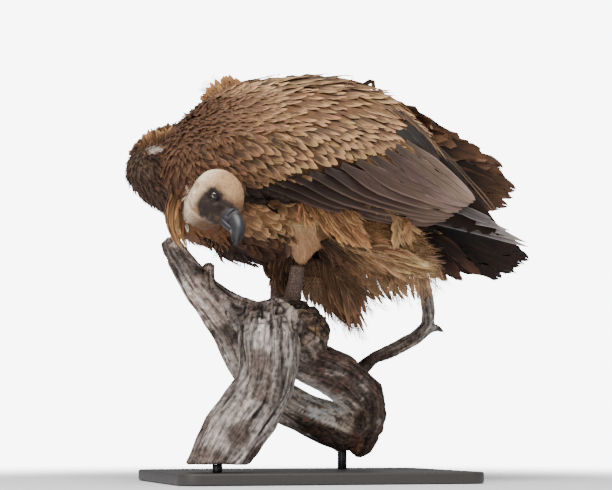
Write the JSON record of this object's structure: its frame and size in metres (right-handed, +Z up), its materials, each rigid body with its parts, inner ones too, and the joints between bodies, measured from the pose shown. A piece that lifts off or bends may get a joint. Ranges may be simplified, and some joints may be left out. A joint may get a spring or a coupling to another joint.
{
  "type": "vulture model on a branch",
  "caption": "Life-size white-backed vulture standing hunched with head lowered and folded wings on a cut length of dead branch, held by two rods on a flat display base.",
  "frame": {"origin": "centre of the display base's underside", "axes": "+Z up; -X the way the bird's body faces, so +X is along its folded wings to its tail; -Y its left side, to which the head is turned"},
  "size_m": [0.6168, 0.4411, 0.6031],
  "materials": {
    "plumage": "matt brown contour feathers",
    "breast": "soft tan plumes",
    "flight": "smooth grey-brown vanes",
    "tail": "near-black vanes",
    "down": "soft cream down and thin skin",
    "neck": "brown down over skin",
    "cere": "satin blue-grey skin",
    "horn": "polished horn",
    "eye": "wet dark brown",
    "leg": "scaly skin",
    "claw": "dark horn",
    "wood": "weathered bark-free wood",
    "base": "satin dark paint",
    "rod": "blackened steel"
  },
  "bodies": {
    "root": {"trunk": "breast", "wing_left": "plumage", "wing_right": "plumage", "thigh_left": "down", "thigh_right": "breast", "flank_plumes": "breast", "belly_plumes": "breast", "wing_left_flight": "flight", "wing_right_flight": "flight", "tail": "tail", "neck_lower": "neck", "neck_upper": "down", "ruff": "breast", "head": "down", "eye_left": "eye", "eye_right": "eye", "cere": "cere", "bill_upper": "horn", "bill_lower": "horn", "perch_stump": "wood", "perch_knob": "wood", "perch_limb": "wood", "perch_loop_lower": "wood", "perch_loop_upper": "wood", "perch_twig": "wood", "perch_fork": "wood", "tarsus_left": "leg", "foot_left": "leg", "claw_left_inner": "claw", "claw_left_middle": "claw", "claw_left_outer": "claw", "claw_left_hind": "claw", "tarsus_right": "leg", "foot_right": "leg", "claw_right_inner": "claw", "claw_right_middle": "claw", "claw_right_outer": "claw", "claw_right_hind": "claw", "stand_base": "base", "stand_rod_front": "rod", "stand_rod_back": "rod"}
  },
  "joints": []
}
